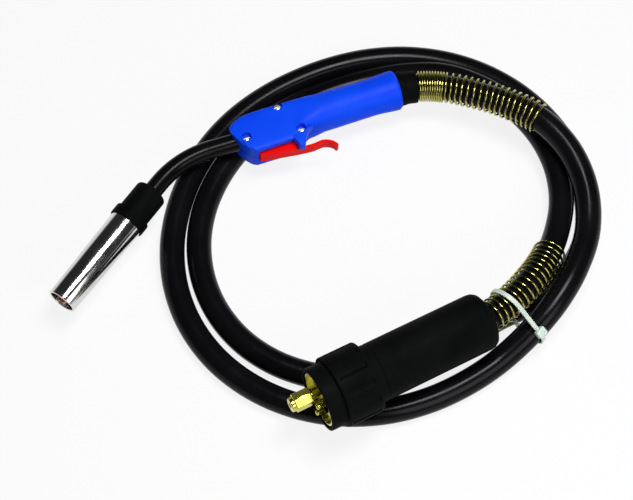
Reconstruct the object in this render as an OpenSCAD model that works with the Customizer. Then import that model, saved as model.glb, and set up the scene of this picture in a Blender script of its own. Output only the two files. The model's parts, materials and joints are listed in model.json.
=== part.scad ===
// MIG welding torch: a swan-neck handset on a coiled power cable that ends in a central connector.
// The torch lies on its side. The origin is the middle of the contact tip's front face, where the
// wire leaves. +X runs along the handle toward the cable, and +Z is up, square to the flat handset.

/* [Gas nozzle] */
// Length of the gas nozzle
nozzle_len = 80; // [66:1:96]
// Outer diameter at the nozzle's mouth
nozzle_mouth_d = 23.6; // [21:0.2:26]
// Outer diameter at the nozzle's base
nozzle_base_d = 27; // [26:0.2:29]
// Wall of the nozzle
nozzle_wall = 1.8; // [1.4:0.1:2]
// How far the mouth stands past the contact tip
tip_recess = 2.5; // [0:0.5:5]

/* [Contact tip and holder] */
// Length of the contact tip
tip_len = 30; // [26:1:34]
// Diameter of the tip's body
tip_d = 10; // [9:0.5:11]
// Diameter of the tip's front face
tip_front_d = 6; // [5:0.5:7]
// Length of the tip's cone
tip_cone_len = 8; // [6:0.5:10]
// Width across the tip's spanner flats
tip_flats = 8.6; // [8.2:0.1:9]
// Diameter of the tip's thread
tip_thread_d = 8; // [7:0.5:8.5]
// Length of the tip's thread
tip_thread_len = 10; // [8:1:12]
// Bore for the welding wire
wire_d = 1.2; // [0.8:0.1:1.6]
// Diameter of the tip holder
holder_d = 12.4; // [12:0.2:14]
// Diameter of the tip holder's spanner collar
holder_collar_d = 14; // [13:0.2:15]
// Length of that collar
holder_collar_len = 6; // [4:0.5:8]
// Diameter of the tip holder's rear thread
holder_thread_d = 9.9; // [9:0.1:10.5]
// Length of the rear thread
holder_thread_len = 7; // [6:0.5:8]
// Diameter of the gas diffuser
diffuser_d = 19; // [17:0.5:20]
// Length of the gas diffuser
diffuser_len = 16; // [14:0.5:18]
// Number of gas holes in the diffuser
gas_holes = 8; // [4:1:10]
// Diameter of a gas hole
gas_hole_d = 2; // [1.5:0.1:2.5]

/* [Insulator and neck] */
// Length of the spigot that the nozzle pushes on to
spigot_len = 11.5; // [9:0.5:14]
// Diameter of the insulator's flange
flange_d = 29.7; // [29.2:0.1:33]
// Length of the flange
flange_len = 9; // [6:0.5:12]
// Diameter of the sleeve behind the flange
sleeve_d = 26; // [22:0.5:28]
// Length of the sleeve
sleeve_len = 25; // [20:1:30]
// Outer diameter of the swan neck
neck_d = 15; // [12.5:0.5:18]
// Bore of the swan neck
neck_bore_d = 10; // [9.8:0.1:10.4]
// Outer diameter of the liner tube in the neck
liner_tube_d = 9.4; // [8:0.1:9.6]
// Bore of the liner tube and of the wire path behind it
liner_d = 4; // [3:0.5:5]
// Bend of the neck, in degrees
neck_angle = 37; // [30:1:45]
// Radius of the bend
neck_bend_r = 80; // [66:1:96]
// Bare neck between the sleeve and the bend
bare_neck_len = 9.5; // [6:0.5:14]
// Bare neck between the bend and the handle
nose_gap = 18; // [12:1:24]

/* [Handle] */
// Length of the handle
handle_len = 142; // [118:1:171]
// Diameter of the round grip
grip_d = 30.6; // [30:0.2:33]
// Diameter of the rim at the rear end
rim_d = 33; // [32:0.2:35]
// Length of the flare to the rim
rim_len = 22; // [16:1:26]
// Wall of the shells
shell_wall = 2.5; // [2:0.1:3]
// Thickness of the rear end wall
rear_wall = 6; // [4:0.5:8]
// How far the neck lies below the grip's axis
neck_drop = 4.5; // [3:0.5:5]
// Height of the head above the grip's axis
head_top = 12.6; // [12.4:0.2:14]
// Depth of the head below the grip's axis
head_depth = 25; // [24:0.5:26]
// Distance from the nose back to the head's lower front edge
chin_x = 15; // [14:0.5:15.5]
// Distance from the nose back to the rear of the head
head_end = 47; // [46:0.5:49]
// Half thickness of the head at its front edge
head_half = 13; // [12.5:0.5:14]
// Diameter of the screws' shafts
screw_d = 3; // [2.5:0.1:3.4]
// Diameter of the screws' heads
screw_head_d = 5.6; // [5:0.2:6]

/* [Trigger and switch] */
// Width of the trigger
trigger_w = 9; // [8.4:0.1:9.4]
// Diameter of the trigger pin
trigger_pin_d = 3; // [2.5:0.1:3.6]
// Diameter of the eye and of the bosses round the pin
trigger_eye_d = 6.4; // [6:0.1:7]
// Length of the trigger's pressed face
trigger_len = 30.7; // [30.2:0.1:31.2]
// Drop of that face from front to rear
trigger_drop = 3.8; // [3.4:0.1:4.2]
// Thickness of the trigger's face and tail
trigger_t = 2.6; // [2.2:0.1:3]
// Width of the switch body
switch_w = 6; // [5:0.2:6.4]
// Length of the switch body
switch_len = 20; // [18:0.5:21]
// Diameter of the switch plunger
plunger_d = 3; // [2.4:0.2:3.6]

/* [Cable and springs] */
// Outer diameter of the power cable
cable_d = 20; // [18:0.5:20]
// Mean radius of the coil
coil_r = 160; // [159:1:161]
// How much the coil is longer and shorter than round
coil_oval = 11; // [10:0.5:12]
// Direction of the coil's long axis, in degrees
coil_oval_angle = 15; // [14:1:16]
// Wire diameter of the support springs
spring_wire_d = 1.8; // [1.4:0.1:2]
// Mean diameter of the front support spring
front_spring_d = 23.8; // [23.6:0.1:24]
// Tight curls at the start of the front spring
front_tight_curls = 7; // [5:1:8]
// Open curls of the front spring
front_open_curls = 17; // [14:1:18]
// Pitch of its tight curls
tight_pitch = 3.1; // [2.9:0.1:3.2]
// Pitch of its open curls
open_pitch = 5; // [4.6:0.1:5.2]
// Mean diameter of the rear support spring
rear_spring_d = 24.2; // [24:0.1:24.4]
// Curls of the rear spring
rear_curls = 17; // [14:1:18]
// Pitch of the rear spring
rear_pitch = 5.4; // [5:0.1:5.6]
// Width of the cable tie's band
tie_w = 3.6; // [3:0.2:5.2]
// Thickness of the band
tie_t = 1.3; // [1:0.1:1.5]

/* [Rear collar] */
// Diameter of the collar behind the handle
collar_d = 26.4; // [26:0.2:28]
// Length of the collar along the cable
collar_len = 16; // [15:0.5:17]
// Diameter of the collar's spigot in the handle
collar_spigot_d = 24; // [23.6:0.2:24.6]
// Depth of the spigot in the handle
collar_spigot_len = 12; // [10:0.5:13]

/* [Connector] */
// Diameter of the connector's housing
housing_d = 45; // [42:0.5:46]
// Length of the housing
housing_len = 102; // [90:1:110]
// Wall of the housing
housing_wall = 2.5; // [2:0.1:3]
// Rounding of the housing's tail
tail_round = 8; // [5:0.5:8]
// Diameter of the union nut's grip
nut_d = 55; // [54:0.5:56]
// Length of the union nut
nut_len = 41.4; // [38:0.2:44]
// Length of the nut's grip
nut_grip_len = 28.7; // [24:0.1:32]
// Diameter of the nut's front collar
nut_collar_d = 49; // [48:0.5:50]
// Number of finger scallops round the nut
nut_scallops = 12; // [8:1:16]
// Diameter of the plug's journal that the nut turns on
journal_d = 28; // [24:0.5:33.5]
// Diameter of the plug's front face
plug_face_d = 43.2; // [42:0.2:44]
// Diameter of the plug's central pin
pin_d = 10; // [9:0.2:11]
// Length of the central pin
pin_len = 6.5; // [5:0.5:8]
// How far the pins are set off the plug's axis
pin_shift = 5.4; // [4.4:0.1:6]
// Width of the liner nut across its corners
liner_nut_d = 14.4; // [13.4:0.2:15]
// Length of the liner nut
liner_nut_len = 16.5; // [14:0.5:18]
// Diameter of a control pin
control_pin_d = 4; // [3.4:0.1:4.2]
// Distance of the control pins from the central pin's axis
control_pin_r = 13.2; // [12.8:0.1:13.8]
// How far the control pins stand out of the face
control_pin_out = 8; // [6:0.5:9]

/* [Hidden] */
$fn = 64;

// Radial clearance of round pieces that fit or turn in one another
fit = 0.05;
// Gap between pieces that pass each other
free_gap = 0.3;
// How far a cut runs past the face that it opens
over = 1;

// Stations along the nozzle's axis, counted back from the wire's exit
mouth_s = -tip_recess;
base_s = nozzle_len - tip_recess;
spigot_s = base_s - spigot_len;
diffuser_s = spigot_s - diffuser_len;
holder_s = tip_len - tip_thread_len;
holder_end_s = diffuser_s + holder_thread_len;
flange_end_s = base_s + flange_len;
sleeve_end_s = flange_end_s + sleeve_len;
bend_s = sleeve_end_s + bare_neck_len;
spigot_r = nozzle_base_d / 2 - nozzle_wall - 0.15;

// Where the two straight runs of the neck would meet, and the handle behind them
bend_tangent = neck_bend_r * tan(neck_angle / 2);
corner = (bend_s + bend_tangent) * [cos(neck_angle), sin(neck_angle)];
bend_end_x = corner.x + bend_tangent;
handle_nose = [bend_end_x + nose_gap, corner.y + neck_drop, 0];
handle_rear = handle_nose + [handle_len, 0, 0];

// Outline of the handle, from the nose back: top, bottom, half thickness, and how square it is
grip_x = head_end + 15;
waist_x = grip_x + 13;
rim_x = handle_len - rim_len;
rim_end_x = handle_len - 2;
grip_r = grip_d / 2;
rim_r = rim_d / 2;
rim_edge_r = rim_r - 1.2;
brow = [[0, -8], [4.6, -4.6], [13, -1.2], [26, -0.2]];
top_line = concat([for (p = brow) [p.x, head_top + p.y]],
                  [[head_end, head_top], [waist_x, grip_r - 0.6], [rim_x, grip_r],
                   [rim_end_x, rim_r], [handle_len, rim_edge_r]]);
bottom_line = [[0, -head_depth], [head_end, -head_depth], [grip_x, -grip_r - 1.2], [waist_x, -grip_r - 0.6],
               [rim_x, -grip_r], [rim_end_x, -rim_r], [handle_len, -rim_edge_r]];
half_line = [[0, head_half - 0.4], [chin_x, head_half], [head_end, head_half + 0.6], [waist_x, grip_r],
             [rim_x, grip_r], [rim_end_x, rim_r], [handle_len, rim_edge_r]];
square_line = [[0, 8], [head_end, 7], [grip_x, 3.4], [waist_x, 2.2], [rim_x, 2], [handle_len, 2]];
section_steps = 16;

// Front of the head seen from its side, from under its top to past the chin
front_line = [[-0.4, -0.08 * head_depth], [0.28 * chin_x, -0.51 * head_depth],
              [0.65 * chin_x, -0.82 * head_depth], [chin_x, -head_depth], [1.3 * chin_x, -1.2 * head_depth]];
front_wall = 4;

// Places in the handle, measured from the nose and the grip's axis
boss_end_x = 22;
neck_end_x = 30;
block_end_x = 48;
block_d = 15;
block_rear_d = 10.6;
clamp_screw = [10.4, -9.8];
shell_screws = [[54.2, -16.2], [42.6, 9.4]];
screw_seat_z = 8.4;
screw_head_h = 2.2;
screw_end_z = -7;
boss_d = 7.6;
recess_d = screw_head_d + 2.6;
recess_boss_d = recess_d + 2.4;
recess_floor_t = 2.4;
slot_half = 5;
slot_front_x = chin_x + 1;
slot_rear_x = 49.5;
slot_top_y = -12;
boss_gap_z = 5.2;
pin_half = 9;

// The clamp screw's end rests on the neck, and its head stays clear of it
function neck_height(aside) = sqrt(pow(neck_d / 2, 2) - pow(aside, 2));
clamp_aside = -neck_drop - clamp_screw.y;
clamp_screw_end_z = neck_height(clamp_aside - screw_d / 2) + fit;
clamp_seat_z = max(screw_seat_z, neck_height(clamp_aside - screw_head_d / 2) + free_gap);
function seat_z(at) = at == clamp_screw ? clamp_seat_z : screw_seat_z;

// The trigger's pin lies just below the boss that holds the neck
pivot = [chin_x + 4.5, -neck_drop - neck_d / 2 - shell_wall - trigger_eye_d / 2 - 0.5];
trigger_front = [chin_x + 1.6, -head_depth - 1];
trigger_slope = -trigger_drop / trigger_len;
trigger_top_y = 4.2 - head_depth;
pocket_x = [pivot.x + 3.7, 46];
pocket_half = 3.4;
pocket_floor_t = trigger_t + 0.2;
switch_x = 24;
switch_y = -20.2;
switch_top_y = -neck_drop - max(neck_d, block_d) / 2 - 0.6;
peg_x = [28, 40];
peg_y = -15.8;
peg_d = 2.4;
plunger_x = 34;
plunger_top_y = -17.5;
plunger_hole_y = -15.2;

// The cable's start inside the handle, and the fitting that grips it
cable_start = 50;
cup_len = 20;
cup_wall = 1.5;
cup_clear = 0.4;

// The collar is set to the cable's lean as it leaves the handle
collar_lean = 9.6;
collar_mid = [8, -1.15, 0.1];
collar_bore_d = cable_d + 1.6;
collar_spigot_bore_d = cable_d + 1.2;
collar_ridge_d = 26;

// The surface that the torch lies on, below the handset's middle plane, and the cable's flat there
lie_z = -34;
floor_z = lie_z + cable_d / 10;

// Connector: place of the housing's tail from the handle's rear, and the way that its front points
conn_tail = [-9.4, -216.2, 9];
conn_heading = 189;
conn_tilt = 3;
conn_axis = [cos(conn_heading) * cos(conn_tilt), sin(conn_heading) * cos(conn_tilt), sin(conn_tilt)];
cable_end_s = 26;

// Stations along the connector, counted from the housing's tail
tail_hole_r = rear_spring_d / 2 + spring_wire_d / 2 + 0.6;
spring_seat_s = 6;
spring_seat_len = 4;
spring_seat_r = 12.1;
cup_s = 9;
shank_s = 60;
shank_r = 9;
housing_front_t = 6;
front_wall_s = housing_len - housing_front_t;
journal_s = front_wall_s - 6;
clip_t = 1.9;
clip_groove_r = journal_d / 2 - 1.4;
nut_s = housing_len + free_gap;
nut_web_len = 5.7;
nut_end_s = nut_s + nut_len;
shoulder_s = nut_s + nut_web_len + free_gap;
rim_s = nut_end_s - 1;
face_s = rim_s - 2.7;
face_rim_t = 2.2;
face_t = 8;
plug_core_d = 40;
pin_end_s = face_s + pin_len;
control_angles = [65, 115];
bush_d = control_pin_d + 3.2;
bush_len = 23;
bush_s = face_s + 1 - bush_len;
bush_chamber_len = 12.8;
control_head_len = 2;
control_head_gap = 0.5;

// Cable route. Its points are measured from the handle's rear, on the grip's axis
route_start = [[-50, 0, 0], [-25, 0, 0], [0, 0, 0], [21, -4, 0.3], [41, -13.5, 1.5], [58.5, -27.5, 4.5]];
route_end = concat([[11.1, -208.7, 5.6]], [for (k = [0 : 2]) conn_tail + cable_end_s * k / 2 * conn_axis]);
coil_centre = [-53.4, -100.6];
coil_first_turn = 66;
coil_last_turn = 858;
coil_step = 12;
// How the passes lie: turn in degrees clockwise from +Y, lane across the coil, height over the surface
coil_lay = [
    [66, -29, 40.5], [78, -18, 43.5], [90, -8, 41], [102, -1, 36], [112, 2, 32], [125, 1.5, 32],
    [135, 1, 29.5], [145, 0, 24], [155, -1, 15], [167, -1, 10], [200, 1, 10], [240, -1, 10],
    [290, -3, 10], [330, 1, 10], [360, 1, 10], [390, 2, 10], [430, 2, 10], [450, 3, 10],
    [470, 4.5, 10], [483, -1.5, 10], [495, -13.5, 10], [507, -25.5, 10], [516, -31, 10], [545, -30.5, 10],
    [570, -27.5, 10], [600, -26, 10], [630, -25, 10], [660, -23, 10], [690, -20.5, 10], [720, -20.5, 10],
    [735, -20, 11.5], [748, -18.5, 15], [760, -16.5, 19], [772, -16, 20], [805, -16, 20],
    [820, -17.5, 19.5], [830, -19.5, 20], [838, -22, 23], [848, -23, 30], [858, -24, 37]];

// Value between the rows of a table, eased so that it has no corners
function slope(table, i, column) =
    let (a = max(i - 1, 0), b = min(i + 1, len(table) - 1))
    (table[b][column] - table[a][column]) / (table[b][0] - table[a][0]);
function eased(table, t, column) =
    let (i = [for (k = [len(table) - 2 : -1 : 0]) if (k == 0 || table[k][0] <= t) k][0],
         h = table[i + 1][0] - table[i][0],
         u = (t - table[i][0]) / h)
    (2 * u^3 - 3 * u^2 + 1) * table[i][column] + (u^3 - 2 * u^2 + u) * h * slope(table, i, column)
    + (3 * u^2 - 2 * u^3) * table[i + 1][column] + (u^3 - u^2) * h * slope(table, i + 1, column);

// Value between the rows of an outline, level at each row
function rounded(line, x) =
    let (i = [for (k = [len(line) - 2 : -1 : 0]) if (k == 0 || line[k][0] <= x) k][0],
         u = (x - line[i][0]) / (line[i + 1][0] - line[i][0]))
    line[i][1] + (line[i + 1][1] - line[i][1]) * u^2 * (3 - 2 * u);

// Smooth curve through points, with a number of samples in each span
function span_point(p, i, u) =
    let (n = len(p),
         a = i > 0 ? p[i - 1] : 2 * p[0] - p[1],
         b = p[i],
         c = p[i + 1],
         d = i + 2 < n ? p[i + 2] : 2 * p[n - 1] - p[n - 2])
    0.5 * (2 * b + (c - a) * u + (2 * a - 5 * b + 4 * c - d) * u^2 + (3 * b - a - 3 * c + d) * u^3);
function smooth_curve(p, samples) =
    [for (i = [0 : len(p) - 2]) for (k = [0 : samples - 1]) span_point(p, i, k / samples), p[len(p) - 1]];

// The whole route of the cable
function coil_point(turn) =
    let (r = coil_r + coil_oval * cos(2 * (90 - turn - coil_oval_angle)) + eased(coil_lay, turn, 1))
    [coil_centre.x + r * sin(turn), coil_centre.y + r * cos(turn), lie_z + eased(coil_lay, turn, 2)];
route = concat(route_start,
               [for (turn = [coil_first_turn : coil_step : coil_last_turn]) coil_point(turn)],
               route_end);
fine_route = smooth_curve(route, 6);
function step_length(p, i) = i + 1 < len(p) ? norm(p[i + 1] - p[i]) : 0;
fine_arc = [for (i = 0, s = 0; i < len(fine_route); s = s + step_length(fine_route, i), i = i + 1) s];
route_len = fine_arc[len(fine_arc) - 1];
function along(s) = [for (axis = [0 : 2])
    lookup(s, [for (i = [0 : len(fine_arc) - 1]) [fine_arc[i], fine_route[i][axis]]])];

// Directions across a path: level to its left, and square to both
function unit(v) = v / norm(v);
function left_of(t) = unit(cross([0, 0, 1], t));
function above(t) = cross(t, left_of(t));
function heading(p, i) = unit(p[min(i + 1, len(p) - 1)] - p[max(i - 1, 0)]);

// Least distance between points of a path that are more than a given number of steps apart
function least_distance(p, apart) =
    min([for (i = [0 : len(p) - 1 - apart]) for (j = [i + apart : len(p) - 1]) norm(p[i] - p[j])]);

cable_path = smooth_curve(route, 2);
cable_sides = 10;

// A spring's wire wound round the cable, from one arc length on, with a list of pitches, one a curl
curl_rings = 8;
wire_sides = 6;
function wound(start, pitches, mean_r) =
    [for (c = 0, s = start; c < len(pitches); s = s + pitches[c], c = c + 1)
        for (k = [0 : curl_rings - 1 + (c == len(pitches) - 1 ? 1 : 0)])
            let (at = s + pitches[c] * k / curl_rings,
                 t = unit(along(at + 2) - along(at - 2)),
                 turn = 360 * k / curl_rings)
            along(at) + mean_r * (cos(turn) * left_of(t) + sin(turn) * above(t))];
front_spring_start = cable_start + collar_len + spring_wire_d / 2 + 1;
front_wire = wound(front_spring_start,
                   [for (c = [1 : front_tight_curls + front_open_curls])
                       c <= front_tight_curls ? tight_pitch : open_pitch],
                   front_spring_d / 2);
rear_spring_end = route_len - cable_end_s + spring_seat_s - spring_wire_d / 2 - fit;
rear_spring_start = rear_spring_end - rear_curls * rear_pitch;
rear_wire = wound(rear_spring_start, [for (c = [1 : rear_curls]) rear_pitch], rear_spring_d / 2);

echo(cable_length = route_len);
echo(cable_self_gap = least_distance(cable_path, 12) - cable_d);
echo(front_spring_self_gap = least_distance(front_wire, curl_rings - 1) - spring_wire_d);
echo(rear_spring_self_gap = least_distance(rear_wire, curl_rings - 1) - spring_wire_d);

// Closed solid through rings of points that all have the same count
module loft(rings) {
    n = len(rings[0]);
    last = (len(rings) - 1) * n;
    sides = [for (i = [0 : len(rings) - 2]) for (k = [0 : n - 1])
        let (a = i * n + k, b = i * n + (k + 1) % n)
        each [[a, a + n, b], [b, a + n, b + n]]];
    ends = [for (k = [1 : n - 2]) each [[0, k, k + 1], [last, last + k + 1, last + k]]];
    polyhedron([for (ring = rings) each ring], concat(sides, ends));
}

// Round wire along a path, with a least height for its lower side
module wire(path, r, sides, least_z) {
    loft([for (i = [0 : len(path) - 1])
        let (t = heading(path, i), side = left_of(t), up = above(t))
        [for (k = [0 : sides - 1])
            let (p = path[i] + r * (cos(360 * k / sides) * side + sin(360 * k / sides) * up))
            [p.x, p.y, max(p.z, least_z)]]]);
}

// Turned piece from its half outline of radius and station
module revolve(outline) {
    rotate_extrude() polygon(outline);
}

// Flat outline made into a plate of a given width, centred on the handset's middle plane
module plate(width) {
    translate([0, 0, -width / 2]) linear_extrude(width) children();
}

module on_nozzle() {
    rotate([0, 0, neck_angle]) rotate([0, 90, 0]) children();
}

module on_handle() {
    translate(handle_nose) children();
}

// Children's Z runs toward the rear, from x behind the nose at height y
module along_handle(x, y = 0) {
    on_handle() translate([x, y, 0]) rotate([0, 90, 0]) children();
}

module on_connector() {
    translate(handle_rear + conn_tail) rotate([0, 90 - conn_tilt, conn_heading]) children();
}

module gas_nozzle() {
    mouth_r = nozzle_mouth_d / 2;
    base_r = nozzle_base_d / 2;
    lip = 0.6;
    step_s = spigot_s - 1;
    step_r = mouth_r + (base_r - mouth_r) * (step_s - mouth_s) / nozzle_len - nozzle_wall;
    color("silver") on_nozzle() revolve([
        [mouth_r - nozzle_wall, mouth_s], [mouth_r - lip, mouth_s], [mouth_r, mouth_s + lip],
        [base_r, base_s], [spigot_r + fit, base_s], [spigot_r + fit, step_s], [step_r, step_s]]);
}

module contact_tip() {
    tip_r = tip_d / 2;
    flat_len = 6;
    color("peru") on_nozzle() difference() {
        revolve([
            [wire_d / 2, 0], [tip_front_d / 2, 0], [tip_r, tip_cone_len], [tip_r, holder_s],
            [tip_thread_d / 2, holder_s], [tip_thread_d / 2, tip_len], [wire_d / 2, tip_len]]);
        for (side = [0, 180])
            rotate([0, 0, side]) translate([-tip_d, tip_flats / 2, holder_s - flat_len - 1])
                cube([2 * tip_d, tip_d, flat_len]);
    }
}

module tip_holder() {
    socket_r = tip_thread_d / 2 + fit;
    wire_path_r = 1.5;
    collar_s = diffuser_s - holder_collar_len;
    color("goldenrod") on_nozzle() revolve([
        [socket_r, holder_s], [holder_d / 2, holder_s], [holder_d / 2, collar_s],
        [holder_collar_d / 2, collar_s], [holder_collar_d / 2, diffuser_s],
        [holder_thread_d / 2, diffuser_s], [holder_thread_d / 2, holder_end_s],
        [wire_path_r, holder_end_s], [wire_path_r, tip_len + 1], [socket_r, tip_len + 1]]);
}

module gas_diffuser() {
    thread_r = holder_thread_d / 2 + fit;
    chamber_r = 6;
    hole_s = holder_end_s + gas_hole_d + 1;
    color("goldenrod") on_nozzle() difference() {
        revolve([
            [thread_r, diffuser_s], [diffuser_d / 2 - 1, diffuser_s], [diffuser_d / 2, diffuser_s + 1],
            [diffuser_d / 2, spigot_s], [chamber_r, spigot_s], [chamber_r, holder_end_s + 0.5],
            [thread_r, holder_end_s + 0.5]]);
        for (k = [0 : gas_holes - 1])
            rotate([0, 0, 360 * k / gas_holes]) translate([0, 0, hole_s]) rotate([0, 90, 0])
                cylinder(d = gas_hole_d, h = diffuser_d);
    }
}

module nozzle_insulator() {
    bore_r = neck_d / 2 + fit;
    flange_r = flange_d / 2;
    sleeve_r = sleeve_d / 2;
    chamfer = 2.5;
    edge = 1;
    color("dimgray") on_nozzle() revolve([
        [bore_r, spigot_s], [spigot_r - edge, spigot_s], [spigot_r, spigot_s + edge], [spigot_r, base_s],
        [flange_r - edge, base_s], [flange_r, base_s + edge],
        [flange_r, flange_end_s - edge], [flange_r - edge, flange_end_s], [sleeve_r, flange_end_s],
        [sleeve_r, sleeve_end_s - chamfer], [sleeve_r - chamfer, sleeve_end_s], [bore_r, sleeve_end_s]]);
}

// Round bar that follows the neck from a station on the nozzle's axis to a place in the handle.
// The bend is drawn a little thinner than the straight bars, which lap over its ends
module neck_run(r, from_s, to_x) {
    lap = 2;
    draw = 0.3;
    on_nozzle() translate([0, 0, from_s]) cylinder(r = r, h = bend_s + lap - from_s);
    translate([bend_end_x, corner.y - neck_bend_r, 0]) rotate([0, 0, 90])
        rotate_extrude(angle = neck_angle) translate([neck_bend_r, 0]) circle(r - draw);
    translate([bend_end_x - lap, corner.y, 0]) rotate([0, 90, 0]) cylinder(r = r, h = lap + nose_gap + to_x);
}

module swan_neck() {
    color("dimgray") difference() {
        neck_run(neck_d / 2, spigot_s, neck_end_x);
        neck_run(neck_bore_d / 2, spigot_s - over, neck_end_x + over);
    }
}

module neck_inner_tube() {
    color("goldenrod") difference() {
        neck_run(liner_tube_d / 2, holder_end_s, neck_end_x + 4);
        neck_run(liner_d / 2, holder_end_s - over, neck_end_x + 4 + over);
    }
}

module neck_block() {
    socket_len = 5;
    joint_x = 36;
    path = [block_end_x - neck_end_x - socket_len, neck_drop];
    color("goldenrod") difference() {
        union() {
            along_handle(neck_end_x, -neck_drop) cylinder(d = block_d, h = joint_x - neck_end_x + 4);
            along_handle(joint_x) cylinder(d = block_rear_d, h = block_end_x - joint_x);
        }
        along_handle(neck_end_x - over, -neck_drop)
            cylinder(d = liner_tube_d + 2 * fit, h = socket_len + over);
        on_handle() translate([neck_end_x + socket_len, -neck_drop, 0]) rotate([0, 0, atan2(path.y, path.x)])
            rotate([0, 90, 0]) translate([0, 0, -over]) cylinder(d = liner_d, h = norm(path) + 2 * over);
    }
}

// Half of the handle's section at x, as points from its top over its side to its bottom
function handle_section(x, inset) =
    let (top = eased(top_line, x, 1),
         bottom = rounded(bottom_line, x),
         power = 2 / lookup(x, square_line),
         half_y = (top - bottom) / 2 - inset,
         half_z = rounded(half_line, x) - inset)
    [for (k = [0 : section_steps])
        let (c = cos(180 * k / section_steps), s = sin(180 * k / section_steps))
        [x, (top + bottom) / 2 + half_y * sign(c) * pow(abs(c), power), half_z * pow(s, power)]];

// All that lies ahead of the head's front, moved back by a distance
module ahead_of_front(back) {
    edge = smooth_curve(front_line, 4);
    reach = 20;
    translate([back, 0, -2 * over]) linear_extrude(head_half + 4 * over)
        polygon(concat([[-reach, edge[0].y]], edge, [[-reach, edge[len(edge) - 1].y]]));
}

module handle_half_solid() {
    places = concat([0, 2.2, 4.6, 8.5, 13, 19, 26, 36],
                    [for (k = [0 : 6]) head_end + (waist_x - head_end) * k / 6],
                    [for (k = [1 : 3]) waist_x + (rim_x - waist_x) * k / 4],
                    [for (k = [0 : 4]) rim_x + (rim_end_x - rim_x) * k / 4],
                    [(rim_end_x + handle_len) / 2, handle_len]);
    difference() {
        loft([for (x = places) handle_section(x, 0)]);
        ahead_of_front(0);
    }
}

// The hollow runs on below the joint plane so that the halves stay open there
module handle_half_hollow() {
    last_x = handle_len - rear_wall;
    places = concat([front_wall, 8, 13, 26, head_end],
                    [for (k = [1 : 4]) head_end + (waist_x - head_end) * k / 4],
                    [(waist_x + rim_x) / 2, rim_x, last_x]);
    difference() {
        loft([for (x = places)
            let (ring = handle_section(x, shell_wall), deep = [0, 0, -over])
            concat([ring[0] + deep], ring, [ring[section_steps] + deep])]);
        ahead_of_front(front_wall);
    }
}

// Boss round a screw from the joint plane up, wider under the recess of the screw's head
module screw_boss() {
    cylinder(d = boss_d, h = head_half + 2);
    translate([0, 0, screw_seat_z - recess_floor_t]) cylinder(d = recess_boss_d, h = head_half);
}

// What both shells have: walls, nose boss, pin boss and screw bosses, less the trigger's slot.
// The children are further bosses
module handle_half() {
    slot_deep = 10;
    difference() {
        union() {
            difference() {
                handle_half_solid();
                handle_half_hollow();
                translate([slot_front_x, -head_depth - slot_deep, -over])
                    cube([slot_rear_x - slot_front_x, head_depth + slot_deep + slot_top_y, slot_half + over]);
            }
            intersection() {
                handle_half_solid();
                union() {
                    translate([0, -neck_drop, 0]) rotate([0, 90, 0])
                        cylinder(d = neck_d + 2 * shell_wall, h = boss_end_x);
                    translate([pivot.x, pivot.y, boss_gap_z]) cylinder(d = trigger_eye_d, h = head_half);
                    for (at = shell_screws) translate(at) screw_boss();
                    children();
                }
            }
        }
        translate([-over, -neck_drop, 0]) rotate([0, 90, 0])
            cylinder(d = neck_d + 2 * fit, h = boss_end_x + 2 * over);
        translate([handle_len - rear_wall - over, 0, 0]) rotate([0, 90, 0])
            cylinder(d = collar_spigot_d + 2 * fit, h = rear_wall + 2 * over);
        translate([pivot.x, pivot.y, 0]) cylinder(d = trigger_pin_d + 2 * fit, h = pin_half + 0.2);
    }
}

// Lug behind the trigger, flush with the head's side, on the upper shell alone
module lug() {
    inner_z = slot_half;
    outer_z = head_half + 0.5;
    outline = [[-2, 4], [-0.8, 0.7], [0.4, -0.8], [0.9, -5.6], [1.8, -6.6], [4.9, -6.9], [5.8, -6],
               [7.4, -2], [10, 3], [13.5, 6.8], [17, 8.8]];
    translate([head_end, -head_depth, inner_z]) linear_extrude(outer_z - inner_z) polygon(outline);
}

module handle_shell_upper() {
    color("royalblue") on_handle() difference() {
        union() {
            handle_half()
                translate([clamp_screw.x, clamp_screw.y, clamp_screw_end_z])
                    cylinder(d = recess_boss_d, h = head_half);
            lug();
        }
        for (at = concat([clamp_screw], shell_screws)) translate(at) {
            translate([0, 0, seat_z(at)]) cylinder(d = recess_d, h = head_half);
            translate([0, 0, -over]) cylinder(d = screw_d + 2 * fit, h = head_half);
        }
    }
}

module handle_shell_lower() {
    peg_base_d = 4.4;
    peg_shoulder_d = 3.6;
    peg_in_wall = 1;
    color("royalblue") on_handle() mirror([0, 0, 1]) {
        difference() {
            handle_half();
            for (at = shell_screws)
                translate([at.x, at.y, -over]) cylinder(d = screw_d + 2 * fit, h = over - screw_end_z + 0.5);
        }
        for (x = peg_x) translate([x, peg_y, 0]) {
            translate([0, 0, boss_gap_z])
                cylinder(d = peg_base_d, h = head_half - shell_wall + peg_in_wall - boss_gap_z);
            translate([0, 0, switch_w / 2 + 0.1]) cylinder(d = peg_shoulder_d, h = boss_gap_z - switch_w / 2);
            translate([0, 0, -switch_w / 4]) cylinder(d = peg_d, h = boss_gap_z);
        }
    }
}

module handle_screws() {
    head_r = screw_head_d / 2;
    edge = 0.8;
    slot_w = 1;
    slot_deep = 1.2;
    lap = 0.5;
    color("silver") on_handle() for (at = concat([clamp_screw], shell_screws)) {
        end_z = at == clamp_screw ? clamp_screw_end_z : screw_end_z;
        translate(at) difference() {
            union() {
                translate([0, 0, seat_z(at)]) revolve([
                    [0, 0], [head_r, 0], [head_r, screw_head_h - edge], [head_r - edge, screw_head_h],
                    [0, screw_head_h]]);
                translate([0, 0, end_z]) cylinder(d = screw_d, h = seat_z(at) + lap - end_z);
            }
            translate([-head_r, -slot_w / 2, seat_z(at) + screw_head_h - slot_deep])
                cube([2 * head_r, slot_w, screw_head_h]);
        }
    }
}

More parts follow.
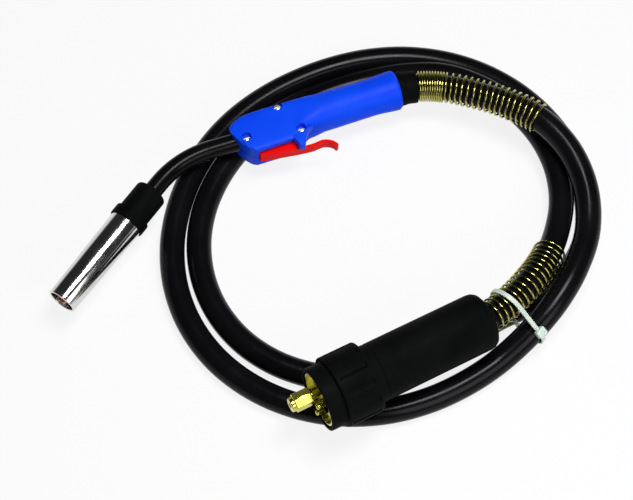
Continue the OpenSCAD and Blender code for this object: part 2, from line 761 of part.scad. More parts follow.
// Strip of even thickness along a flat path
module strip(path, t) {
    sides = [for (i = [0 : len(path) - 1])
        let (d = path[min(i + 1, len(path) - 1)] - path[max(i - 1, 0)]) [-d.y, d.x] * t / (2 * norm(d))];
    n = len(path) - 1;
    polygon(concat([for (i = [0 : n]) path[i] + sides[i]], [for (i = [n : -1 : 0]) path[i] - sides[i]]));
}

// Point of the trigger's pressed face at x, raised by a height
function face_point(x, up) = [x, trigger_front.y + trigger_slope * (x - trigger_front.x) + up];

module trigger() {
    face_end = face_point(trigger_front.x + trigger_len, 0);
    rear_x = face_end.x + 0.8;
    eye_r = trigger_eye_d / 2;
    eye_foot_y = trigger_top_y - 1;
    tail = [[0, 0], [6.7, -0.6], [12.5, -0.8], [17, -0.3], [21, 0], [25, -1.2], [28.5, -3.6], [31, -7.2]];
    color("red") on_handle() difference() {
        union() {
            plate(trigger_w) polygon([
                trigger_front, face_end, [rear_x, face_end.y + 1.4], [rear_x, trigger_top_y - 3],
                [pocket_x[1], trigger_top_y], [trigger_front.x, trigger_top_y]]);
            plate(trigger_w)
                strip(smooth_curve([for (p = tail) face_end + [0, trigger_t / 2] + p], 3), trigger_t);
            translate([pivot.x, pivot.y, -trigger_w / 2]) cylinder(r = eye_r, h = trigger_w);
            plate(trigger_w) polygon([
                [pivot.x - eye_r, pivot.y], [pivot.x + eye_r, pivot.y],
                [pivot.x + eye_r, eye_foot_y], [trigger_front.x + 0.3, eye_foot_y]]);
        }
        plate(2 * pocket_half) polygon([
            [pocket_x[0], pivot.y], [pocket_x[1], pivot.y],
            face_point(pocket_x[1], pocket_floor_t), face_point(pocket_x[0], pocket_floor_t)]);
        translate([pivot.x, pivot.y, -trigger_w]) cylinder(d = trigger_pin_d + 2 * fit, h = 2 * trigger_w);
    }
}

module trigger_pin() {
    color("silver") on_handle() translate([pivot.x, pivot.y, -pin_half])
        cylinder(d = trigger_pin_d, h = 2 * pin_half);
}

module switch_body() {
    color("dimgray") on_handle() difference() {
        translate([switch_x, switch_y, -switch_w / 2]) cube([switch_len, switch_top_y - switch_y, switch_w]);
        for (x = peg_x)
            translate([x, peg_y, -switch_w]) cylinder(d = peg_d + 2 * fit, h = 2 * switch_w);
        translate([plunger_x, switch_y - over, 0]) rotate([-90, 0, 0])
            cylinder(d = plunger_d + 2 * fit, h = plunger_hole_y - switch_y + over);
    }
}

module switch_plunger() {
    bottom_y = face_point(plunger_x, pocket_floor_t).y + free_gap;
    color("white") on_handle() translate([plunger_x, bottom_y, 0]) rotate([-90, 0, 0])
        cylinder(d = plunger_d, h = plunger_top_y - bottom_y);
}

// Children's Z runs along the cable's lean through the collar's middle
module along_collar() {
    translate(handle_rear + collar_mid) rotate([0, 0, -collar_lean]) rotate([0, 90, 0]) children();
}

module rear_collar() {
    ridge_len = 5.7;
    disc_len = 5.5;
    disc_d = collar_d + 2;
    chamber = [0.2, 4.2];
    chamber_d = collar_bore_d + 2;
    lean_front = -5.5;
    lean_bore_front = -6;
    color("dimgray") difference() {
        union() {
            along_handle(handle_len - collar_spigot_len)
                cylinder(d = collar_spigot_d, h = collar_spigot_len + over);
            along_handle(handle_len - collar_spigot_len) cylinder(d = collar_ridge_d, h = ridge_len);
            along_handle(handle_len) cylinder(d = disc_d, h = disc_len);
            along_collar() translate([0, 0, lean_front])
                cylinder(d = collar_d, h = collar_len - collar_mid.x - lean_front);
        }
        along_handle(handle_len - collar_spigot_len - over)
            cylinder(d = collar_spigot_bore_d, h = collar_spigot_len + chamber[0] + 2 * over);
        along_handle(handle_len + chamber[0]) cylinder(d = chamber_d, h = chamber[1] - chamber[0]);
        along_collar() translate([0, 0, lean_bore_front]) cylinder(d = collar_bore_d, h = collar_len + over);
    }
}

module cable_end_fitting() {
    cable_x = handle_len - cable_start;
    cup_r = cable_d / 2 + cup_clear;
    stem_r = 7;
    hex_x = block_end_x + 4;
    hex_len = 8;
    color("goldenrod") difference() {
        union() {
            along_handle(block_end_x) cylinder(r = stem_r, h = cable_x - block_end_x);
            along_handle(hex_x) cylinder(d = 20, h = hex_len, $fn = 6);
            along_handle(cable_x - cup_wall) cylinder(r = cup_r + cup_wall, h = cup_len + cup_wall);
        }
        along_handle(block_end_x - over) cylinder(d = liner_d, h = cable_x);
        along_handle(cable_x) cylinder(r = cup_r, h = cup_len + over);
    }
}

module power_cable() {
    color("black") translate(handle_rear) wire(cable_path, cable_d / 2, cable_sides, floor_z);
}

module front_support_spring() {
    color("darkkhaki") translate(handle_rear) wire(front_wire, spring_wire_d / 2, wire_sides, floor_z);
}

module rear_support_spring() {
    color("darkkhaki") translate(handle_rear) wire(rear_wire, spring_wire_d / 2, wire_sides, floor_z);
}

// Band round the connector's end of the cable, over its spring, and the outer pass beside it.
// Its plane is about square to both passes, and its head lies on top of the outer one
module cable_tie() {
    tie_behind = 22;
    tie_lean = 0.13;
    head_turn = 95;
    inside_r = rear_spring_d / 2 + spring_wire_d / 2 + 0.7;
    beside_r = cable_d / 2 + 0.8;
    head = [5, 6.5, 8];
    tie_arc = route_len - cable_end_s - tie_behind;
    first_pass_arc = [200, 500];
    at = along(tie_arc);
    own_way = unit(along(tie_arc + 1) - along(tie_arc - 1));
    passes = [for (i = [0 : len(fine_arc) - 1])
        if (fine_arc[i] > first_pass_arc[0] && fine_arc[i] < first_pass_arc[1]) i];
    aside = min([for (i = passes) abs((fine_route[i] - at) * own_way)]);
    nearest = [for (i = passes) if (abs((fine_route[i] - at) * own_way) == aside) i][0];
    beside_way = heading(fine_route, nearest);
    mean_way = unit(own_way + beside_way);
    axis = unit(mean_way + tie_lean * left_of(mean_way));
    side = left_of(axis);
    up = above(axis);
    offset = fine_route[nearest] - at;
    beside = offset - beside_way * (offset * axis) / (beside_way * axis);
    beside_at = [beside * side, beside * up];
    head_angle = atan2(beside_at.y, beside_at.x) + sign(beside_at.x) * head_turn;
    turn = [for (k = [0 : 2]) [side[k], up[k], axis[k], 0]];
    color("honeydew") translate(handle_rear + at)
        multmatrix(concat(turn, [[0, 0, 0, 1]])) {
            plate(tie_w) difference() {
                hull() {
                    circle(inside_r + tie_t, $fn = 32);
                    translate(beside_at) circle(beside_r + tie_t, $fn = 32);
                }
                hull() {
                    circle(inside_r, $fn = 32);
                    translate(beside_at) circle(beside_r, $fn = 32);
                }
            }
            translate(beside_at) rotate([0, 0, head_angle])
                translate([beside_r + tie_t / 2, -head.y / 2, -head.z / 2]) cube(head);
        }
}

module connector_housing() {
    r = housing_d / 2;
    journal_hole_r = journal_d / 2 + fit;
    seat_end_s = spring_seat_s + spring_seat_len;
    color("dimgray") on_connector() revolve(concat(
        [[tail_hole_r, 0]],
        [for (a = [0 : 15 : 90]) [r - tail_round + tail_round * sin(a), tail_round - tail_round * cos(a)]],
        [[r, housing_len], [journal_hole_r, housing_len], [journal_hole_r, front_wall_s],
         [r - housing_wall, front_wall_s], [r - housing_wall, seat_end_s], [spring_seat_r, seat_end_s],
         [spring_seat_r, spring_seat_s], [tail_hole_r, spring_seat_s]]));
}

module union_nut() {
    inside_r = plug_face_d / 2 + 0.4;
    edge = 1;
    scallop_r = 5;
    scallop_deep = 1.2;
    grip_end_s = nut_s + nut_grip_len;
    color("dimgray") on_connector() difference() {
        revolve([
            [journal_d / 2 + fit, nut_s], [nut_d / 2 - edge, nut_s], [nut_d / 2, nut_s + edge],
            [nut_d / 2, grip_end_s - edge], [nut_d / 2 - edge, grip_end_s], [nut_collar_d / 2, grip_end_s],
            [nut_collar_d / 2, nut_end_s - edge], [nut_collar_d / 2 - edge, nut_end_s], [inside_r, nut_end_s],
            [inside_r, nut_s + nut_web_len], [journal_d / 2 + fit, nut_s + nut_web_len]]);
        for (k = [0 : nut_scallops - 1])
            rotate([0, 0, 360 * k / nut_scallops])
                translate([nut_d / 2 + scallop_r - scallop_deep, 0, nut_s + 3])
                    cylinder(r = scallop_r, h = nut_grip_len - 6);
    }
}

// Children's Z runs along the central pin, which is set off the plug's axis
module on_plug_pin() {
    on_connector() translate([0, -pin_shift, 0]) children();
}

module at_control_pins(which) {
    on_plug_pin() rotate([0, 0, control_angles[which]]) translate([control_pin_r, 0, 0]) children();
}

// The wire's way runs along the plug's axis, then slants over to the central pin
module wire_way() {
    turn_s = shoulder_s + 4;
    foot_s = face_s - 4;
    slant = atan2(pin_shift, foot_s - turn_s);
    on_connector() translate([0, 0, shank_s - over]) cylinder(d = liner_d, h = turn_s - shank_s + 2 * over);
    on_connector() translate([0, 0, turn_s]) rotate([slant, 0, 0])
        cylinder(d = liner_d, h = norm([pin_shift, foot_s - turn_s]));
    on_plug_pin() translate([0, 0, foot_s - over]) cylinder(d = liner_d, h = pin_end_s - foot_s + 2 * over);
}

module plug_body() {
    journal_r = journal_d / 2;
    clip_end_s = front_wall_s;
    face_r = plug_face_d / 2;
    edge = 0.8;
    color("goldenrod") difference() {
        union() {
            on_connector() revolve([
                [0, shank_s], [shank_r, shank_s], [shank_r, journal_s], [journal_r, journal_s],
                [journal_r, clip_end_s - clip_t - 0.1], [clip_groove_r, clip_end_s - clip_t - 0.1],
                [clip_groove_r, clip_end_s], [journal_r, clip_end_s], [journal_r, shoulder_s],
                [plug_core_d / 2, shoulder_s], [plug_core_d / 2, face_s - face_t], [face_r, face_s - face_t],
                [face_r, rim_s - edge], [face_r - edge, rim_s], [face_r - face_rim_t, rim_s],
                [face_r - face_rim_t, face_s], [0, face_s]]);
            on_plug_pin() translate([0, 0, face_s - over]) cylinder(d = pin_d, h = pin_len + over);
        }
        wire_way();
        for (which = [0, 1])
            at_control_pins(which) translate([0, 0, bush_s])
                cylinder(d = bush_d + 2 * fit, h = bush_len + over);
    }
}

module nut_retainer() {
    clip_r = journal_d / 2 + 2.5;
    mouth_w = 16;
    color("silver") on_connector() difference() {
        translate([0, 0, front_wall_s - clip_t]) difference() {
            cylinder(r = clip_r, h = clip_t);
            translate([0, 0, -over]) cylinder(r = clip_groove_r + fit, h = clip_t + 2 * over);
        }
        translate([0, -mouth_w / 2, front_wall_s - clip_t - over])
            cube([clip_r + over, mouth_w, clip_t + 2 * over]);
    }
}

module liner_nut() {
    round_len = 3;
    round_d = 11;
    color("goldenrod") on_plug_pin() difference() {
        union() {
            translate([0, 0, pin_end_s]) cylinder(d = liner_nut_d, h = liner_nut_len - round_len, $fn = 6);
            translate([0, 0, pin_end_s]) cylinder(d = round_d, h = liner_nut_len);
        }
        translate([0, 0, pin_end_s - over]) cylinder(d = liner_d, h = liner_nut_len + 2 * over);
    }
}

module control_pin_bushes() {
    bore_r = control_pin_d / 2 + fit;
    chamber_r = bush_d / 2 - 0.6;
    chamber_end_s = bush_s + bush_chamber_len;
    bush_end_s = bush_s + bush_len;
    color("black") for (which = [0, 1]) at_control_pins(which) revolve([
        [chamber_r, bush_s], [bush_d / 2, bush_s], [bush_d / 2, bush_end_s], [bore_r, bush_end_s],
        [bore_r, chamber_end_s], [chamber_r, chamber_end_s]]);
}

module control_pin(which) {
    r = control_pin_d / 2;
    head_r = bush_d / 2 - 0.9;
    head_end_s = bush_s + bush_chamber_len - control_head_gap;
    tip_s = face_s + control_pin_out;
    color("silver") at_control_pins(which) revolve([
        [0, head_end_s - control_head_len], [head_r, head_end_s - control_head_len], [head_r, head_end_s],
        [r, head_end_s], [r, tip_s - 1], [r - 0.6, tip_s - 0.2], [0, tip_s]]);
}

module control_pin_a() {
    control_pin(0);
}

module control_pin_b() {
    control_pin(1);
}

module connector_cable_fitting() {
    cup_r = cable_d / 2 + cup_clear;
    stem_r = 8;
    neck_s = [cable_end_s + 3, cable_end_s + 5];
    cup_floor_s = cable_end_s + fit;
    color("goldenrod") on_connector() revolve([
        [cup_r, cup_s], [cup_r + cup_wall, cup_s], [cup_r + cup_wall, neck_s[0]], [stem_r, neck_s[1]],
        [stem_r, shank_s], [liner_d / 2, shank_s], [liner_d / 2, cup_floor_s], [cup_r, cup_floor_s]]);
}

gas_nozzle();
contact_tip();
tip_holder();
gas_diffuser();
nozzle_insulator();
neck_inner_tube();
swan_neck();
neck_block();
handle_shell_upper();
handle_shell_lower();
handle_screws();
trigger();
trigger_pin();
switch_body();
switch_plunger();
rear_collar();
cable_end_fitting();
front_support_spring();
power_cable();
rear_support_spring();
cable_tie();
connector_housing();
union_nut();
plug_body();
nut_retainer();
liner_nut();
control_pin_bushes();
control_pin_a();
control_pin_b();
connector_cable_fitting();
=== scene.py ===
# Looks of the MIG welding torch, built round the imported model.
# Outlines are in millimetres in a piece's own frame, and pieces are made in metres.
import json
import math

import bmesh
import bpy
from mathutils import Matrix, Vector


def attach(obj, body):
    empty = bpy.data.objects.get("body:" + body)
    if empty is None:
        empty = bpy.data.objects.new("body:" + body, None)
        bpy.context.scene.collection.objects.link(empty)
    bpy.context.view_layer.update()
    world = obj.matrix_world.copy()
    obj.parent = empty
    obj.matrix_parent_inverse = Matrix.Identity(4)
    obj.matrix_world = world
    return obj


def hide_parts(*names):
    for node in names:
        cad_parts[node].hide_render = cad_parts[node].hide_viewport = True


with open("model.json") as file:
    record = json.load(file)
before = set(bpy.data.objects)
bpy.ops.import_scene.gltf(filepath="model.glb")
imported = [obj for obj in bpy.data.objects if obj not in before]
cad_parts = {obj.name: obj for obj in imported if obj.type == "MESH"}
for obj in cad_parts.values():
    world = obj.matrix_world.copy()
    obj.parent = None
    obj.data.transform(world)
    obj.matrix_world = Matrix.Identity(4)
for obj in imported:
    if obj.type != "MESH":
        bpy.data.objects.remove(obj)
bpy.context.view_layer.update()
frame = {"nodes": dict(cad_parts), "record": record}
scene = bpy.context.scene
MM = 0.001

# Sizes that several pieces share, with turns in degrees
NECK_TURN = 37
NECK_R = 7.5
NECK_START = 66
NECK_RUN = 18
NECK_DROP = 4.5
BEND_R = 80
BEND_S = 121
HANDLE_LEN = 142
COLLAR_SHIFT = Vector((8, -1.15, 0.1))
COLLAR_LEAN = 9.6
CONN_HEADING = 189
CONN_TILT = 3
FLOOR_Z = -32
FIT = 0.05

# Places that several pieces share, in the part's frame, and the connector's end as measured from the rear
NECK_ANGLE = math.radians(NECK_TURN)
TANGENT = BEND_R * math.tan(NECK_ANGLE / 2)
CORNER = Vector((math.cos(NECK_ANGLE), math.sin(NECK_ANGLE), 0)) * (BEND_S + TANGENT)
NOSE = CORNER + Vector((TANGENT + NECK_RUN, NECK_DROP, 0))
REAR = NOSE + Vector((HANDLE_LEN, 0, 0))
TAIL = Vector((-9.4, -216.2, 9))


def placed(point, turn_z=0.0, turn_y=0.0):
    """Frame at a point, turned about Y and then about Z, in degrees."""
    turn = Matrix.Rotation(math.radians(turn_z), 4, "Z") @ Matrix.Rotation(math.radians(turn_y), 4, "Y")
    return Matrix.Translation(Vector(point) * MM) @ turn


ON_PART = placed((0, 0, 0))
ON_NOZZLE = placed((0, 0, 0), NECK_TURN, 90)
ON_HANDLE = placed(NOSE)
ON_COLLAR = placed(REAR + COLLAR_SHIFT, -COLLAR_LEAN, 90)
ON_REAR = placed(REAR, 0, 90)
ON_CONNECTOR = placed(REAR + TAIL, CONN_HEADING, 90 - CONN_TILT)
CONN_AXIS = ON_CONNECTOR.to_3x3() @ Vector((0, 0, 1))


# Camera, light and floor
def add_lamp(name, place, aim, size, watts, colour):
    lamp = bpy.data.lights.new(name, "AREA")
    lamp.shape = "RECTANGLE"
    lamp.size, lamp.size_y = size
    lamp.energy = watts
    lamp.color = colour
    obj = bpy.data.objects.new(name, lamp)
    obj.location = place
    obj.rotation_mode = "QUATERNION"
    obj.rotation_quaternion = (Vector(aim) - Vector(place)).to_track_quat("-Z", "Y")
    scene.collection.objects.link(obj)


def add_camera():
    target = Vector((0.2006, -0.0075, -0.034))
    place = Vector((0.0400, -0.4738, 0.9771))
    data = bpy.data.cameras.new("camera")
    data.lens = 80
    data.sensor_width = 36
    obj = bpy.data.objects.new("camera", data)
    obj.location = place
    obj.rotation_mode = "QUATERNION"
    obj.rotation_quaternion = (target - place).to_track_quat("-Z", "Y")
    scene.collection.objects.link(obj)
    scene.camera = obj


def add_floor():
    """Pale floor that shows as white to the camera and in reflections, and keeps the shadow."""
    half = 6.0
    gap = 0.1
    grey = 0.93
    white_share = 0.85
    level = (FLOOR_Z - gap) * MM
    mesh = bpy.data.meshes.new("floor")
    corners = [(-half, -half, level), (half, -half, level), (half, half, level), (-half, half, level)]
    mesh.from_pydata(corners, [], [(0, 1, 2, 3)])
    obj = bpy.data.objects.new("floor", mesh)
    scene.collection.objects.link(obj)
    mat = bpy.data.materials.new("floor_paper")
    mat.use_nodes = True
    tree = mat.node_tree
    tree.nodes.clear()
    out = tree.nodes.new("ShaderNodeOutputMaterial")
    paper = tree.nodes.new("ShaderNodeBsdfDiffuse")
    paper.inputs["Color"].default_value = (grey, grey, grey, 1)
    white = tree.nodes.new("ShaderNodeEmission")
    path = tree.nodes.new("ShaderNodeLightPath")
    seen = tree.nodes.new("ShaderNodeMath")
    seen.operation = "MAXIMUM"
    seen_or_clear = tree.nodes.new("ShaderNodeMath")
    seen_or_clear.operation = "MAXIMUM"
    share = tree.nodes.new("ShaderNodeMath")
    share.operation = "MULTIPLY"
    share.inputs[1].default_value = white_share
    mix = tree.nodes.new("ShaderNodeMixShader")
    tree.links.new(path.outputs["Is Camera Ray"], seen.inputs[0])
    tree.links.new(path.outputs["Is Glossy Ray"], seen.inputs[1])
    tree.links.new(seen.outputs[0], seen_or_clear.inputs[0])
    tree.links.new(path.outputs["Is Transmission Ray"], seen_or_clear.inputs[1])
    tree.links.new(seen_or_clear.outputs[0], share.inputs[0])
    tree.links.new(share.outputs[0], mix.inputs[0])
    tree.links.new(paper.outputs[0], mix.inputs[1])
    tree.links.new(white.outputs[0], mix.inputs[2])
    tree.links.new(mix.outputs[0], out.inputs["Surface"])
    mesh.materials.append(mat)


def add_world():
    """Studio that is pale near the floor and dim overhead, where the lamps hang."""
    pale = (0.7, 0.7, 0.7, 1)
    dim = (0.025, 0.0255, 0.027, 1)
    dim_from = 0.22
    world = bpy.data.worlds.new("studio")
    scene.world = world
    world.use_nodes = True
    tree = world.node_tree
    back = tree.nodes["Background"]
    where = tree.nodes.new("ShaderNodeTexCoord")
    split = tree.nodes.new("ShaderNodeSeparateXYZ")
    ramp = tree.nodes.new("ShaderNodeValToRGB")
    ramp.color_ramp.elements[0].color = pale
    ramp.color_ramp.elements[1].position = dim_from
    ramp.color_ramp.elements[1].color = dim
    tree.links.new(where.outputs["Generated"], split.inputs[0])
    tree.links.new(split.outputs["Z"], ramp.inputs[0])
    tree.links.new(ramp.outputs[0], back.inputs["Color"])


scene.view_settings.view_transform = "Standard"
add_camera()
add_floor()
add_world()
add_lamp("softbox", place=(0.41, -0.06, 1.1), aim=(0.05, -0.33, 0), size=(0.36, 0.45), watts=10.5,
         colour=(1, 1, 1))
add_lamp("fill", place=(0.65, -1.17, 0.88), aim=(0.2, -0.05, 0), size=(0.85, 0.85), watts=8.0,
         colour=(0.95, 0.98, 1))


# Materials
def material(name, dark, light, rough, depth, grain=1.0, rings=0.0, mottle=30.0, **shader):
    """Surface whose colour and gloss drift over the piece, with a fine grain or turned rings, all in mm."""
    low, high = 0.35, 0.65
    mat = bpy.data.materials.new(name)
    mat.use_nodes = True
    tree = mat.node_tree
    bsdf = tree.nodes["Principled BSDF"]
    where = tree.nodes.new("ShaderNodeTexCoord")

    def noise(size, detail):
        node = tree.nodes.new("ShaderNodeTexNoise")
        node.inputs["Scale"].default_value = 1 / (size * MM)
        node.inputs["Detail"].default_value = detail
        tree.links.new(where.outputs["Object"], node.inputs["Vector"])
        return node

    drift = tree.nodes.new("ShaderNodeValToRGB")
    drift.color_ramp.elements[0].position = low
    drift.color_ramp.elements[0].color = (*dark, 1)
    drift.color_ramp.elements[1].position = high
    drift.color_ramp.elements[1].color = (*light, 1)
    tree.links.new(noise(mottle, 4).outputs["Fac"], drift.inputs[0])
    tree.links.new(drift.outputs[0], bsdf.inputs["Base Color"])
    gloss = tree.nodes.new("ShaderNodeMapRange")
    gloss.inputs["From Min"].default_value = low
    gloss.inputs["From Max"].default_value = high
    gloss.inputs["To Min"].default_value = rough[0]
    gloss.inputs["To Max"].default_value = rough[1]
    tree.links.new(noise(mottle / 3, 6).outputs["Fac"], gloss.inputs["Value"])
    tree.links.new(gloss.outputs[0], bsdf.inputs["Roughness"])
    if rings:
        height = tree.nodes.new("ShaderNodeTexWave")
        height.bands_direction = "Z"
        height.inputs["Scale"].default_value = 1 / (rings * MM) / math.tau
        height.inputs["Distortion"].default_value = 0.6
        tree.links.new(where.outputs["Object"], height.inputs["Vector"])
    else:
        height = noise(grain, 3)
    bump = tree.nodes.new("ShaderNodeBump")
    bump.inputs["Strength"].default_value = 0.6
    bump.inputs["Distance"].default_value = depth * MM
    tree.links.new(height.outputs["Fac"], bump.inputs["Height"])
    tree.links.new(bump.outputs[0], bsdf.inputs["Normal"])
    for socket, value in shader.items():
        bsdf.inputs[socket.replace("_", " ")].default_value = value
    return mat


MATERIALS = {
    "nozzle_chrome": material(
        "polished_chrome", dark=(0.62, 0.62, 0.6), light=(0.7, 0.7, 0.69),
        rough=(0.1, 0.16), grain=9, depth=0.002, Metallic=1.0),
    "copper": material(
        "tip_copper", dark=(0.68, 0.36, 0.22), light=(0.76, 0.43, 0.28),
        rough=(0.22, 0.34), rings=0.5, depth=0.004, Metallic=1.0),
    "brass": material(
        "turned_brass", dark=(0.54, 0.5, 0.07), light=(0.64, 0.6, 0.12),
        rough=(0.14, 0.24), rings=0.6, depth=0.003, mottle=8, Metallic=1.0),
    "black_plastic": material(
        "moulded_black", dark=(0.0026, 0.0029, 0.0029), light=(0.0044, 0.0047, 0.0047),
        rough=(0.5, 0.62), grain=0.5, depth=0.02, Specular_IOR_Level=0.02),
    "black_paint": material(
        "satin_black_paint", dark=(0.0035, 0.0035, 0.004), light=(0.0055, 0.0055, 0.006),
        rough=(0.14, 0.22), grain=2.5, depth=0.02, Specular_IOR_Level=0.07),
    "blue_plastic": material(
        "moulded_blue", dark=(0.001, 0.06, 0.93), light=(0.002, 0.074, 0.98),
        rough=(0.42, 0.52), grain=0.45, depth=0.018, Specular_IOR_Level=0.1),
    "red_plastic": material(
        "moulded_red", dark=(0.9, 0.001, 0.001), light=(0.96, 0.002, 0.002),
        rough=(0.42, 0.52), grain=0.5, depth=0.015, Specular_IOR_Level=0.08),
    "white_plastic": material(
        "tie_nylon", dark=(0.62, 0.74, 0.64), light=(0.7, 0.8, 0.71),
        rough=(0.3, 0.42), grain=0.6, depth=0.01, Subsurface_Weight=0.15, Subsurface_Scale=0.002),
    "steel": material(
        "plated_steel", dark=(0.78, 0.78, 0.76), light=(0.86, 0.86, 0.84),
        rough=(0.3, 0.42), grain=0.3, depth=0.004, mottle=6, Metallic=1.0),
    "spring_wire": material(
        "passivated_wire", dark=(0.34, 0.31, 0.07), light=(0.5, 0.46, 0.14),
        rough=(0.12, 0.2), grain=0.5, depth=0.006, mottle=5, Metallic=1.0),
    "cable_rubber": material(
        "cable_rubber", dark=(0.0035, 0.0035, 0.0042), light=(0.0055, 0.0055, 0.0065),
        rough=(0.16, 0.24), grain=1.2, depth=0.012, mottle=45, Specular_IOR_Level=0.1),
}


# Making pieces
def add_piece(name, shape, at, material_slot, nodes, body="torch"):
    """Piece from its points and faces in millimetres, in place of CAD nodes."""
    sharp = 38
    points, faces = shape
    mesh = bpy.data.meshes.new(name)
    mesh.from_pydata([Vector(p) * MM for p in points], [], faces)
    turn_faces_out(mesh)
    mesh.shade_smooth()
    mesh.set_sharp_from_angle(angle=math.radians(sharp))
    mesh.materials.append(MATERIALS[material_slot])
    obj = bpy.data.objects.new(name, mesh)
    scene.collection.objects.link(obj)
    obj.matrix_world = at
    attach(obj, body)
    if nodes:
        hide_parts(*nodes)
    return obj


def turn_faces_out(mesh):
    work = bmesh.new()
    work.from_mesh(mesh)
    bmesh.ops.recalc_face_normals(work, faces=work.faces)
    work.to_mesh(mesh)
    work.free()


def joined(*shapes):
    """Several closed shapes as one list of points and faces."""
    points, faces = [], []
    for more_points, more_faces in shapes:
        first = len(points)
        points += [Vector(p) for p in more_points]
        faces += [[first + i for i in face] for face in more_faces]
    return points, faces


def moved(shape, matrix):
    points, faces = shape
    return [matrix @ Vector(p) for p in points], faces


def between_rings(count, size, loop):
    """Faces between rings of points, closed round to the first ring or with a cap on each end."""
    faces = []
    for i in range(count if loop else count - 1):
        a, b = i * size, (i + 1) % count * size
        faces += [[a + k, a + (k + 1) % size, b + (k + 1) % size, b + k] for k in range(size)]
    if not loop:
        faces.append(list(range(size))[::-1])
        faces.append(list(range((count - 1) * size, count * size)))
    return faces


def softened(outline):
    """Closed outline with its corners rounded, where a row gives a third value for that."""
    steps = 4
    rows = []
    for i, row in enumerate(outline):
        here = Vector(row[:2])
        if len(row) < 3:
            rows.append(here)
            continue
        before = (Vector(outline[i - 1][:2]) - here).normalized() * row[2]
        after = (Vector(outline[(i + 1) % len(outline)][:2]) - here).normalized() * row[2]
        rows += [here + before * (1 - k / steps) ** 2 + after * (k / steps) ** 2 for k in range(steps + 1)]
    return rows


def turned(outline, segments, most=None, hollow=True):
    """Turned shape from rows of radius and station. most(turn, station) limits the radius."""
    rows = softened(outline)
    points = []
    for r, s in rows:
        for k in range(segments):
            turn = math.tau * k / segments
            reach = min(r, most(turn, s)) if most else r
            points.append((reach * math.cos(turn), reach * math.sin(turn), s))
    return points, between_rings(len(rows), segments, hollow)


def prism(outline, z0, z1):
    """Flat outline made into a plate from z0 to z1."""
    points = [(x, y, z) for z in (z0, z1) for x, y in outline]
    return points, between_rings(2, len(outline), False)


def drum(x, y, r, z0, z1, segments=40):
    """Upright bar whose section is a regular polygon."""
    return prism([(x + r * math.cos(math.tau * k / segments), y + r * math.sin(math.tau * k / segments))
                  for k in range(segments)], z0, z1)


def eased_edges(shape, edge):
    """Shape with its sharp edges rounded."""
    sharp_from = math.radians(30)
    points, faces = shape
    work = bmesh.new()
    made = [work.verts.new(p) for p in points]
    for face in faces:
        work.faces.new([made[i] for i in face])
    bmesh.ops.recalc_face_normals(work, faces=work.faces)
    sharp = [e for e in work.edges if e.calc_face_angle() > sharp_from]
    bmesh.ops.bevel(work, geom=sharp, offset=edge, segments=3, profile=0.5, affect="EDGES")
    work.verts.index_update()
    eased_shape = [v.co.copy() for v in work.verts], [[v.index for v in f.verts] for f in work.faces]
    work.free()
    return eased_shape


def bevel(obj, width, segments=2, limit="ANGLE"):
    """Rounds the edges of a piece that are sharp, or those that weigh_edges has marked."""
    mod = obj.modifiers.new("edges", "BEVEL")
    mod.width = width * MM
    mod.segments = segments
    mod.limit_method = limit
    mod.angle_limit = math.radians(35)
    mod.use_clamp_overlap = False


def heading(path, i):
    return (path[min(i + 1, len(path) - 1)] - path[max(i - 1, 0)]).normalized()


def left_of(way):
    return Vector((0, 0, 1)).cross(way).normalized()


def above(way):
    return way.cross(left_of(way))


def swept(path, radius, sides, least_z=-math.inf):
    """Round tube along a path, not lower than a least height."""
    points = []
    for i, here in enumerate(path):
        way = heading(path, i)
        for k in range(sides):
            turn = math.tau * k / sides
            p = here + radius * (math.cos(turn) * left_of(way) + math.sin(turn) * above(way))
            points.append((p.x, p.y, max(p.z, least_z)))
    return points, between_rings(len(path), sides, False)


# Route of the cable, as points measured from the handle's rear
CABLE_R = 10
CABLE_END = 26
IN_HANDLE = 50
ROUTE_START = [(-IN_HANDLE, 0, 0), (-25, 0, 0), (0, 0, 0), (21, -4, 0.3), (41, -13.5, 1.5),
               (58.5, -27.5, 4.5)]
ROUTE_LAST_BEND = (11.1, -208.7, 5.6)
LIE_Z = -34
COIL_X = -53.4
COIL_Y = -100.6
COIL_R = 160
COIL_OVAL = 11
COIL_OVAL_TURN = 75
COIL_STEP = 12
# How the passes lie: turn in degrees clockwise from +Y, lane across the coil, height over the surface
COIL_LAY = [
    (66, -29, 40.5), (78, -18, 43.5), (90, -8, 41), (102, -1, 36), (112, 2, 32), (125, 1.5, 32),
    (135, 1, 29.5), (145, 0, 24), (155, -1, 15), (167, -1, 10), (200, 1, 10), (240, -1, 10),
    (290, -3, 10), (330, 1, 10), (360, 1, 10), (390, 2, 10), (430, 2, 10), (450, 3, 10),
    (470, 4.5, 10), (483, -1.5, 10), (495, -13.5, 10), (507, -25.5, 10), (516, -31, 10), (545, -30.5, 10),
    (570, -27.5, 10), (600, -26, 10), (630, -25, 10), (660, -23, 10), (690, -20.5, 10), (720, -20.5, 10),
    (735, -20, 11.5), (748, -18.5, 15), (760, -16.5, 19), (772, -16, 20), (805, -16, 20),
    (820, -17.5, 19.5), (830, -19.5, 20), (838, -22, 23), (848, -23, 30), (858, -24, 37)]


def slope(table, i, column):
    a, b = max(i - 1, 0), min(i + 1, len(table) - 1)
    return (table[b][column] - table[a][column]) / (table[b][0] - table[a][0])


def eased(table, t, column):
    """Value between the rows of a table, eased so that it has no corners."""
    i = max([k for k in range(len(table) - 1) if k == 0 or table[k][0] <= t])
    h = table[i + 1][0] - table[i][0]
    u = (t - table[i][0]) / h
    return ((2 * u**3 - 3 * u**2 + 1) * table[i][column] + (u**3 - 2 * u**2 + u) * h * slope(table, i, column)
            + (3 * u**2 - 2 * u**3) * table[i + 1][column] + (u**3 - u**2) * h * slope(table, i + 1, column))


